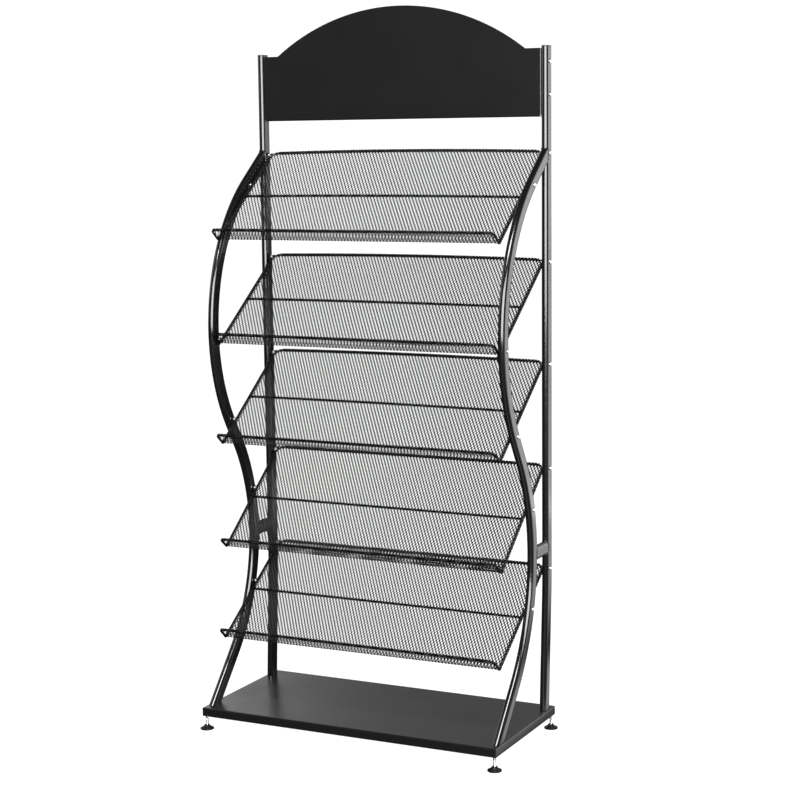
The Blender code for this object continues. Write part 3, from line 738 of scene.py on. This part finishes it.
def build_frame(number, height, tilt, front):
    build = Build()
    build.rings(sweep(*beaded(border_path(), BORDER_WIRE, True), 10, True), True)
    middle = [Vector((x, -SHELF_SLOPE * MIDDLE_AT, MIDDLE_LEVEL)) for x in (-SHELF_HALF, SHELF_HALF)]
    build.rings(sweep(*beaded(middle, MIDDLE_WIRE), 10))
    # eyelets: a wire bent round the screw into a pointed loop, its two legs welded down
    loop_wire, loop_bend, foot = 0.00115, 0.0036, 0.0088
    weld = ((-0.0034, 0.0006), (-0.0024, 0.0018), (-0.0008, 0.00235), (0.0008, 0.00235), (0.0024, 0.0018),
            (0.0034, 0.0006))
    reach = math.hypot(foot, EYELET_RISE)
    leg = math.atan2(EYELET_RISE, foot) + math.asin(loop_bend / reach)
    for sign in (-1.0, 1.0):
        x = sign * (TUBE_X - TUBE_NOSE - GAP - loop_wire)
        for distance in (rear_eyelet(tilt), front):
            corners = [(-foot, 0.0), (0.0, foot * math.tan(leg)), (foot, 0.0)]
            points = [Vector((x, -distance + v, w)) for v, w in corners]
            build.rings(sweep(fillet(points, (loop_bend,), 14), loop_wire, 10))
            for end in (-foot, foot):
                at = Vector((sign * SHELF_HALF, -distance + end, 0.0006))
                blob = [at + Vector((0.0, v, 0.0)) for v, _ in weld]
                build.rings(sweep(blob, [radius for _, radius in weld], 10))
    item = build.object(f"shelf_{number}_wire_frame", 50.0)
    arch(item.data, SHELF_BOWS[number - 1])
    item.matrix_world = shelf_matrix(height, tilt)
    place(item, f"shelf_{number}_frame", WIRE)


def shelf_matrix(height, tilt):
    return Matrix.Translation((0.0, SHELF_REAR_Y, height)) @ Matrix.Rotation(tilt, 4, "X")


STRAND_WIDTH, STRAND_THICK = 0.0023, 0.00080
STRAND_TILT = math.radians(34.0)
LIP_NARROWING = 0.12                         # strands are this much narrower on the lip
BOND = 0.0017                                # length over which two strands run side by side
MESH_TRIM = FOLD_RADIUS * math.tan(SHELF_LEAN / 2.0)
MESH_LENGTH = SHELF_SLOPE - 2.0 * MESH_TRIM + FOLD_RADIUS * SHELF_LEAN + SHELF_LIP

# The sheet's edge leaves its plane and closes round the border wire
WRAP_RADIUS = BORDER_WIRE + STRAND_THICK / 2.0 + 0.00005
WRAP_TOUCH = math.radians(48.0)
WRAP_SPRING = 0.16                           # how much the strand ends stand off the wire
WRAP_START = WRAP_RADIUS / math.cos(WRAP_TOUCH)
WRAP_RAMP = WRAP_RADIUS * math.tan(WRAP_TOUCH)
WRAP_END = WRAP_RAMP + WRAP_RADIUS * math.radians(150.0) - WRAP_RADIUS * WRAP_TOUCH - WRAP_START


def mesh_surface(x, s, lift):
    """Points of the folded mesh sheet from across, along and normal distances (arrays)."""
    start = SHELF_SLOPE - MESH_TRIM
    arc = FOLD_RADIUS * SHELF_LEAN
    angle = np.clip((s - start) / FOLD_RADIUS, 0.0, SHELF_LEAN)
    radius = FOLD_RADIUS - lift
    before = np.clip(start - s, 0.0, None)
    after = np.clip(s - start - arc, 0.0, None)
    y = -start - radius * np.sin(angle) + before - after * math.cos(SHELF_LEAN)
    z = FOLD_RADIUS - radius * np.cos(angle) + after * math.sin(SHELF_LEAN)
    return np.stack((x, y, z), axis=-1)


def border_distance(x, s):
    """How far inside the border wire's centre line a place on the sheet lies."""
    corner = np.where(s < MESH_LENGTH / 2.0, REAR_CORNER, LIP_CORNER)
    dx = np.abs(x) - (SHELF_HALF - corner)
    ds = np.abs(s - MESH_LENGTH / 2.0) - (MESH_LENGTH / 2.0 - corner)
    outside = np.hypot(np.maximum(dx, 0.0), np.maximum(ds, 0.0))
    return corner - outside - np.minimum(np.maximum(dx, ds), 0.0)


def wrap(x, s, lift):
    """Close the places near the sheet's edge round the border wire."""
    nudge = 1e-5
    inside = border_distance(x, s)
    inward_x = border_distance(x + nudge, s) - border_distance(x - nudge, s)
    inward_s = border_distance(x, s + nudge) - border_distance(x, s - nudge)
    size = np.maximum(np.hypot(inward_x, inward_s), 1e-9)
    past = np.clip(WRAP_START - inside, 0.0, None)
    angle = WRAP_TOUCH + np.clip(past - WRAP_RAMP, 0.0, None) / WRAP_RADIUS
    ramp = past < WRAP_RAMP
    radius = WRAP_RADIUS * (1.0 + WRAP_SPRING * (angle - WRAP_TOUCH))
    moved = np.where(ramp, WRAP_START - past * math.sin(WRAP_TOUCH), radius * np.cos(angle))
    level = np.where(ramp, past * math.cos(WRAP_TOUCH), radius * np.sin(angle))
    flat = past <= 0.0
    shift_in = np.where(flat, 0.0, moved - inside + lift * np.cos(angle))
    level = np.where(flat, lift, level + lift * np.sin(angle))
    return x + inward_x / size * shift_in, s + inward_s / size * shift_in, level


def strand_runs():
    """Every strand as arrays of (x, s), cut where it has closed round the border wire."""
    runs = []
    half_pitch = MESH_ALONG / 2.0
    swing = MESH_ACROSS / 2.0 - STRAND_WIDTH * 0.8
    columns = math.ceil(SHELF_HALF / MESH_ACROSS) + 1
    halves = math.ceil(MESH_LENGTH / half_pitch) + 2
    fine = np.linspace(0.0, 1.0, 13)[:-1]
    for column in range(-columns, columns + 1):
        for hand in (-1.0, 1.0):
            base = column * MESH_ACROSS + hand * STRAND_WIDTH * 0.40
            points = []
            for k in range(-2, halves + 1):
                x = base + (hand * swing if k % 2 else 0.0)
                points += [(x, k * half_pitch - BOND / 2.0), (x, k * half_pitch + BOND / 2.0)]
            line = []
            for (x0, s0), (x1, s1) in zip(points, points[1:]):
                near = min(border_distance(x0, s0), border_distance(x1, s1)) < WRAP_START + 0.001
                for t in (fine if near else (0.0,)):
                    line.append((x0 + (x1 - x0) * t, s0 + (s1 - s0) * t))
            line = np.array(line)
            over = WRAP_END + 0.0014 * (rng.random() - 0.5)
            kept = border_distance(line[:, 0], line[:, 1]) > -over
            edges = np.flatnonzero(np.diff(np.concatenate(([False], kept, [False])).astype(int)))
            for first, last in zip(edges[::2], edges[1::2]):
                if last - first > 3:
                    runs.append(line[first:last])
    return runs


def strand_mesh():
    """One shelf's expanded metal: every strand a thin tilted bar, closed at its ends."""
    vertices, faces = [], []
    count = 0
    for line in strand_runs():
        steps = line[1:] - line[:-1]
        steps = steps / np.hypot(*steps.T)[:, None]
        tangent = np.vstack((steps[:1], steps[1:] + steps[:-1], steps[-1:]))
        tangent = tangent / np.hypot(*tangent.T)[:, None]
        widen = np.ones(len(line))
        widen[1:-1] = 1.0 / np.clip((tangent[1:-1] * steps[1:]).sum(1), 0.5, 1.0)
        inside = border_distance(line[:, 0], line[:, 1])
        tilt = STRAND_TILT * np.clip((inside - WRAP_START) / 0.003, 0.0, 1.0)
        on_lip = np.clip((line[:, 1] - SHELF_SLOPE + 0.004) / 0.008, 0.0, 1.0)
        tilt = tilt * (1.0 - 2.0 * on_lip)
        rings = []
        for u, v in ((1, 1), (-1, 1), (-1, -1), (1, -1)):
            a = u * STRAND_WIDTH / 2.0 * (1.0 - LIP_NARROWING * on_lip)
            b = v * STRAND_THICK / 2.0 * (1.0 - 0.3 * on_lip)
            aside = (a * np.cos(tilt) - b * np.sin(tilt)) * widen
            lift = a * np.sin(tilt) + b * np.cos(tilt)
            rings.append(mesh_surface(*wrap(line[:, 0] + tangent[:, 1] * aside,
                                            line[:, 1] - tangent[:, 0] * aside, lift)))
        size = len(line)
        vertices.append(np.stack(rings, axis=1).reshape(-1, 3))
        index = count + np.arange(size * 4).reshape(size, 4)
        following = np.roll(index, -1, axis=1)
        quads = np.stack((index[:-1], following[:-1], following[1:], index[1:]), axis=-1).reshape(-1, 4)
        faces += [quads, index[:1, ::-1], index[-1:]]
        count += size * 4
    mesh = bpy.data.meshes.new("expanded_metal")
    mesh.from_pydata(np.concatenate(vertices).tolist(), [], np.concatenate(faces).tolist())
    mesh.validate()
    return mesh


def build_shelves():
    metal = strand_mesh()
    for number, (height, tilt, front) in enumerate(SHELVES, start=1):
        build_frame(number, height, tilt, front)
        item = add_object(f"shelf_{number}_expanded_mesh", metal.copy())
        arch(item.data, SHELF_BOWS[number - 1])
        item.matrix_world = shelf_matrix(height, tilt)
        place(item, f"shelf_{number}_mesh", MESH)


# ---------------------------------------------------------------- fasteners

SCREW_HEAD, SCREW_HEAD_HEIGHT, SCREW_RIM = 0.0040, 0.0024, 0.0006
RECESS_WIDE, RECESS_LONG, RECESS_DEEP = 0.00048, 0.0021, 0.0012      # the first two from the middle


def hexagon_nut(build, flats, low, high, bore, axis, sides=48):
    """Hexagon with both ends chamfered, on the Z or X axis; a bore of zero leaves it solid."""
    corner = flats / math.sqrt(3.0)
    edge = min((corner - flats / 2.0) * 0.55, (high - low) / 3.0)
    face = flats * 0.49
    rings = []
    for cap, position in ((face, low), (corner, low + edge), (corner, high - edge), (face, high)):
        ring = []
        for angle in round_angles(sides):
            sector = (angle + math.pi / 6.0) % (math.pi / 3.0) - math.pi / 6.0
            ring.append(around(axis, min(flats / 2.0 / math.cos(sector), cap), angle, position))
        rings.append(ring)
    if bore:
        rings += turned(((bore, high), (bore, low)), sides, axis)
    build.rings(rings, bool(bore))


def thread_rings(radius, depth, pitch, low, high, sides, axis, tip=0.0):
    """Rings of a threaded rod: the radius follows a helix, so the ridges climb as they go round."""
    count = max(4, round((high - low) / (pitch / 6.0)))
    rings = []
    for i in range(count + 1):
        at = low + (high - low) * i / count
        fade = min(1.0, (high - at) / pitch, (at - low) / pitch)
        ring = []
        for k in range(sides):
            angle = 2.0 * math.pi * k / sides
            phase = ((at - low) / pitch - k / sides) % 1.0
            groove = 1.0 - abs(2.0 * phase - 1.0)
            r = radius - depth * groove * max(fade, 0.0)
            if high - at < tip:
                r -= tip - (high - at)
            ring.append(around(axis, r, angle, at))
        rings.append(ring)
    return rings


def screw_mesh(name, grip):
    """Cross-recess pan head at x = 0 and up, shank down to a hexagon nut past the grip."""
    head, height = SCREW_HEAD, SCREW_HEAD_HEIGHT
    build = Build()
    profile = [(0.0019, -0.0005), (0.0019, 0.0), (head - 0.00015, 0.0), (head, 0.00015), (head, SCREW_RIM)]
    for angle in quarter_turn(8, 1):
        radius = max(head * math.cos(angle) ** 0.72, 0.0002)
        profile.append((radius, SCREW_RIM + (height - SCREW_RIM) * math.sin(angle)))
    build.rings(turned(profile, 40, "X"))
    item = build.object(name + "_head")
    wide = RECESS_WIDE
    for turn in (0.0, 90.0):
        spin = Matrix.Rotation(math.radians(turn), 4, "X")
        rings = []
        for x, scale in ((height - RECESS_DEEP, 0.45), (height + 0.0005, 1.10)):
            long = RECESS_LONG * scale
            corners = ((-wide, -long), (wide, -long), (wide, long), (-wide, long))
            rings.append([spin @ Vector((x, u, v)) for u, v in corners])
        tool = Build()
        tool.rings(rings)
        cut(item, tool)
    build = Build()
    nut = -grip - GAP
    hexagon_nut(build, 0.0070, nut - 0.0022, nut, 0.0, "X")
    build.rings(thread_rings(0.00195, 0.00022, 0.0007, nut - 0.0030, -0.0003, 20, "X"))
    rest = build.object(name)
    bm = bmesh.new()
    bm.from_mesh(rest.data)
    bm.from_mesh(item.data)
    mesh = rest.data
    bm.to_mesh(mesh)
    bm.free()
    shade(mesh)
    bpy.data.objects.remove(item, do_unlink=True)
    bpy.data.objects.remove(rest, do_unlink=True)
    return mesh


def build_screws():
    face = TUBE_X + TUBE_NOSE + GAP
    half = TUBE_X - TUBE_NOSE - GAP
    shelf_screw = screw_mesh("shelf_screw", face - EYELET_INNER_FACE)
    header_screw = screw_mesh("header_screw", face - half + HEADER_SHEET)
    rows = [(f"shelf_{n}_screw_{where}_", shelf_screw) for n in range(1, 6) for where in ("rear", "front")]
    rows += [(f"header_screw_{where}_", header_screw) for where in ("lower", "upper")]
    for row, mesh in rows:
        for side, sign in SIDES:
            node = row + side
            low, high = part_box(node)
            y, z = (low.y + high.y) / 2.0, (low.z + high.z) / 2.0
            item = add_object(node + "_cross_head", mesh)
            turn = Matrix.Rotation(math.pi if sign < 0.0 else 0.0, 4, "Z")
            spin = Matrix.Rotation(rng.uniform(0.0, math.pi), 4, "X")
            item.matrix_world = Matrix.Translation((sign * face, y, z)) @ turn @ spin
            place(item, node, ZINC)


def build_bolts_and_nuts():
    bolt = Build()
    low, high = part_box("base_bolt_front_left")
    head_top = BASE_TOP - BASE_SHEET - GAP
    hexagon_nut(bolt, 0.0080, low.z, head_top, 0.0, "Z")
    bolt.rings(thread_rings(0.0025, 0.0003, 0.0008, head_top, high.z, 20, "Z", 0.0004))
    bolt_object = bolt.object("base_bolt_pattern")
    nut = Build()
    nut_low, nut_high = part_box("foot_nut_front_left")
    hexagon_nut(nut, 0.0100, nut_low.z, nut_high.z, 0.0033, "Z")
    nut_object = nut.object("foot_nut_pattern")
    for corner in CORNERS:
        for node, pattern, slot, material in (("base_bolt_", bolt_object, "bright_zinc", ZINC),
                                              ("foot_nut_", nut_object, "plain_steel", STEEL)):
            item = add_object(node + corner + "_hexagon", pattern.data)
            item.location = node_centre(node + corner)
            place(item, node + corner, material)
    bpy.data.objects.remove(bolt_object, do_unlink=True)
    bpy.data.objects.remove(nut_object, do_unlink=True)


# ---------------------------------------------------------------- levelling feet

def build_feet():
    neck, bead = 0.0033, 0.0045
    pad = Build()
    profile = [(0.0126, 0.0), (0.0134, 0.00025), (0.0139, 0.0008), (0.0140, 0.0014), (0.0140, 0.0024),
               (0.0139, 0.0028), (0.0136, 0.0031), (0.0131, 0.0033), (0.0122, 0.0036), (0.0100, 0.0047),
               (0.0078, 0.0062), (0.0062, 0.0078), (0.0054, 0.0090), (0.0050, 0.0096), (0.0045, 0.0100),
               (0.0036, 0.0100), (neck, 0.0097), (neck, 0.0068), (bead, 0.0058), (bead, 0.0030)]
    pad.rings(turned(profile, 64))
    pad_mesh = pad.object("foot_pad_pattern").data
    low, high = (corner.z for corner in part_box("foot_stud_front_left"))
    stud = Build()
    foot = [(0.0034, low), (0.0041, low + 0.0004), (0.0042, low + 0.0009), (0.0042, low + 0.0016),
            (0.0036, low + 0.0024), (0.0030, low + 0.0030), (0.0030, low + 0.0068)]
    thread = thread_rings(0.0030, 0.00042, 0.0010, low + 0.0069, high, 32, "Z", 0.0005)
    stud.rings(turned(foot, 32) + thread)
    stud_mesh = stud.object("foot_stud_pattern", 50.0).data
    for corner in CORNERS:
        centre = node_centre("foot_stud_" + corner)
        for piece, mesh, slot, material in (("pad_", pad_mesh, "black_foot_plastic", FOOT),
                                            ("stud_", stud_mesh, "bright_zinc", ZINC)):
            node = "foot_" + piece + corner
            item = add_object(node + "_turned", mesh)
            item.location = centre
            place(item, node, material, piece + corner)
    for name in ("foot_pad_pattern", "foot_stud_pattern"):
        bpy.data.objects.remove(bpy.data.objects[name], do_unlink=True)


# ---------------------------------------------------------------- studio

CAMERA_PLACE = (1.6863, -3.3046, 1.1841)
CAMERA_YAW, CAMERA_PITCH, CAMERA_ROLL = 0.4580, -0.1368, -0.0118
CAMERA_LENS, CAMERA_SENSOR = 84.93, 36.0


def build_camera():
    yaw, pitch, roll = CAMERA_YAW, CAMERA_PITCH, CAMERA_ROLL
    forward = Vector((-math.sin(yaw) * math.cos(pitch), math.cos(yaw) * math.cos(pitch), math.sin(pitch)))
    right = Vector((math.cos(yaw), math.sin(yaw), 0.0))
    up = right.cross(forward)
    across = right * math.cos(roll) + up * math.sin(roll)
    upward = up * math.cos(roll) - right * math.sin(roll)
    camera = bpy.data.cameras.new("camera")
    camera.sensor_width = CAMERA_SENSOR
    camera.lens = CAMERA_LENS
    camera.clip_end = 60.0
    item = add_object("camera", camera)
    turn = Matrix((across, upward, -forward)).transposed().to_4x4()
    item.matrix_world = Matrix.Translation(CAMERA_PLACE) @ turn
    bpy.context.scene.camera = item


def add_area(name, location, target, size_x, size_y, radiance):
    light = bpy.data.lights.new(name, "AREA")
    light.shape = "RECTANGLE"
    light.size, light.size_y = size_x, size_y
    light.energy = radiance * math.pi * size_x * size_y
    item = add_object(name, light)
    item.location = location
    aim = Vector(target) - Vector(location)
    item.rotation_euler = aim.to_track_quat("-Z", "Y").to_euler()
    item.visible_camera = False
    return item


def joined(tree, kind, *sources):
    """A new node of a kind, its first inputs fed from the sources."""
    node = tree.nodes.new(kind)
    for source, socket in zip(sources, node.inputs):
        tree.links.new(source, socket)
    return node.outputs[0]


def product(tree, first, *others):
    for other in others:
        first = math_node(tree, "MULTIPLY", first, other)
    return first


def split_axes(tree, output):
    split = tree.nodes.new("ShaderNodeSeparateXYZ")
    tree.links.new(tree.nodes.new("ShaderNodeTexCoord").outputs[output], split.inputs[0])
    return split.outputs


def build_floor():
    """White sweep: evenly bright to the view, dark to the coat's reflections but for two lit patches."""
    reach = 14
    outline = ((-reach, -reach), (reach, -reach), (reach, reach), (-reach, reach))
    floor = Build()
    floor.rings([[Vector((x, y, z)) for x, y in outline] for z in (-0.02, 0.0)])
    item = floor.object("studio_floor")
    material, tree, shader = new_material("studio_white", (0.05, 0.05, 0.05), 0.0, 0.9)
    shader.inputs["Specular IOR Level"].default_value = 0.0
    diffuse = tree.nodes.new("ShaderNodeBsdfDiffuse")
    diffuse.inputs["Color"].default_value = (0.16, 0.16, 0.16, 1.0)
    glow = tree.nodes.new("ShaderNodeEmission")
    glow.inputs["Strength"].default_value = 1.02
    seen = joined(tree, "ShaderNodeAddShader", diffuse.outputs[0], glow.outputs[0])
    # the patches: behind the rack to the right, and a strip just past its right side
    x, y, _ = split_axes(tree, "Object")
    beyond = product(tree, map_range(tree, x, 0.0, 1.6, 0.58, 0.82), map_range(tree, y, 0.0, 1.0, 0.30, 1.00),
                     map_range(tree, y, 1.0, 0.0, 2.30, 2.55))
    beside = product(tree, map_range(tree, x, 0.0, 1.0, 0.37, 0.39), map_range(tree, x, 1.3, 0.0, 0.50, 0.58),
                     map_range(tree, y, 1.0, 0.0, 0.55, 0.75))
    lit = tree.nodes.new("ShaderNodeEmission")
    tree.links.new(math_node(tree, "ADD", beyond, beside), lit.inputs["Strength"])
    reflected = joined(tree, "ShaderNodeAddShader", shader.outputs[0], lit.outputs[0])
    camera_ray = tree.nodes.new("ShaderNodeLightPath").outputs["Is Camera Ray"]
    choice = joined(tree, "ShaderNodeMixShader", camera_ray, reflected, seen)
    tree.links.new(choice, tree.nodes["Material Output"].inputs["Surface"])
    item.data.materials.append(material)


def build_world():
    """Soft room: white to the view; reflections find it brightest low at the left and behind."""
    world = bpy.data.worlds.new("studio")
    bpy.context.scene.world = world
    world.use_nodes = True
    tree = world.node_tree
    back = tree.nodes["Background"]
    x, y, z = split_axes(tree, "Generated")
    depth = map_range(tree, y, 0.15, 1.0, -0.30, 0.35)
    left = map_range(tree, x, 1.35, 0.30, -0.52, -0.465)
    right = map_range(tree, x, 0.30, 0.06, -0.30, 0.20)
    height = map_range(tree, z, 1.0, 0.10, 0.35, 0.75)
    room = product(tree, depth, math_node(tree, "MAXIMUM", left, right), height)
    seen = tree.nodes.new("ShaderNodeLightPath").outputs["Is Camera Ray"]
    strength = tree.nodes.new("ShaderNodeMix")
    tree.links.new(seen, strength.inputs["Factor"])
    tree.links.new(room, strength.inputs["A"])
    strength.inputs["B"].default_value = 1.1
    tree.links.new(strength.outputs["Result"], back.inputs["Strength"])
    back.inputs["Color"].default_value = (1.0, 1.0, 1.0, 1.0)


def build_studio():
    build_floor()
    build_world()
    key = add_area("key_softbox", (2.77, -3.55, 1.72), (0.0, 0.0, 1.72), 5.2, 2.6, 17.0)
    # the key is flagged off the tray, whose flat top would mirror the whole softbox from behind
    flagged = bpy.data.collections.new("flagged_off_the_key")
    flagged.objects.link(bpy.data.objects["base_tray_folded"])
    flagged.collection_objects[0].light_linking.link_state = "EXCLUDE"
    key.light_linking.receiver_collection = flagged
    add_area("high_strip", (0.88, -1.50, 2.66), (0.0, -0.05, 0.1), 1.4, 0.62, 32.0)
    add_area("rear_right_panel", (1.42, 1.60, 1.01), (1.42, 0.0, 1.01), 1.20, 1.78, 2.2)
    add_area("rear_upper_panel", (0.45, 1.60, 1.27), (0.45, 0.0, 1.27), 0.50, 0.60, 1.4)
    add_area("left_softbox", (-3.2, -1.5, 2.25), (0.0, 0.0, 2.25), 1.6, 1.9, 2.2)
    bpy.context.scene.view_settings.view_transform = "Standard"
    bpy.context.scene.view_settings.look = "None"


build_base()
build_tubes()
build_plugs()
build_header()
build_shelves()
build_screws()
build_bolts_and_nuts()
build_feet()
build_camera()
build_studio()
